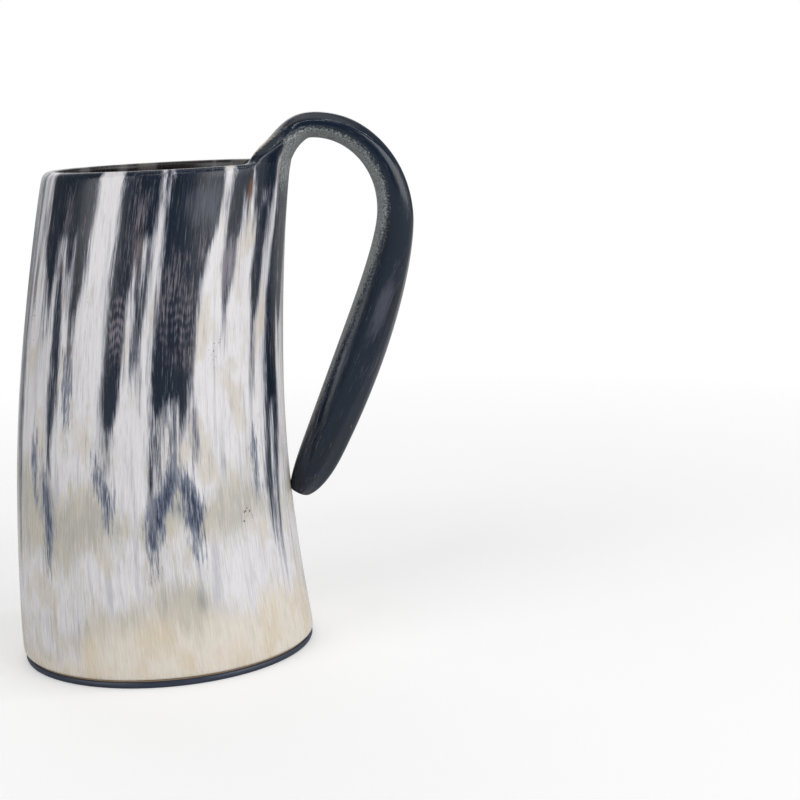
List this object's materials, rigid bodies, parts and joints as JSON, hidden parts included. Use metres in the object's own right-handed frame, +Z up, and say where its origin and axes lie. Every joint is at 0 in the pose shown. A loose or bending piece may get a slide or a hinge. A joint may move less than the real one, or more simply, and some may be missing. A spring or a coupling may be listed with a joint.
{
  "type": "drinking horn mug",
  "caption": "Horn drinking mug: a tapered, bowed horn cup with a flat glued-in base and a handle bent over from the horn's own tip.",
  "frame": {"origin": "middle of the base's underside, on the table", "axes": "+Z up, +X towards the handle, +Y across the handle's plane"},
  "size_m": [0.1295, 0.087, 0.164],
  "materials": {
    "streaked_horn": "polished horn, pale with dark streaks",
    "black_horn": "polished black horn",
    "base_horn": "satin black horn plate",
    "cast_resin": "clear amber resin"
  },
  "bodies": {
    "root": {"cup_wall": "streaked_horn", "handle": "black_horn", "base_disc": "base_horn", "resin_seal": "cast_resin"}
  },
  "joints": []
}
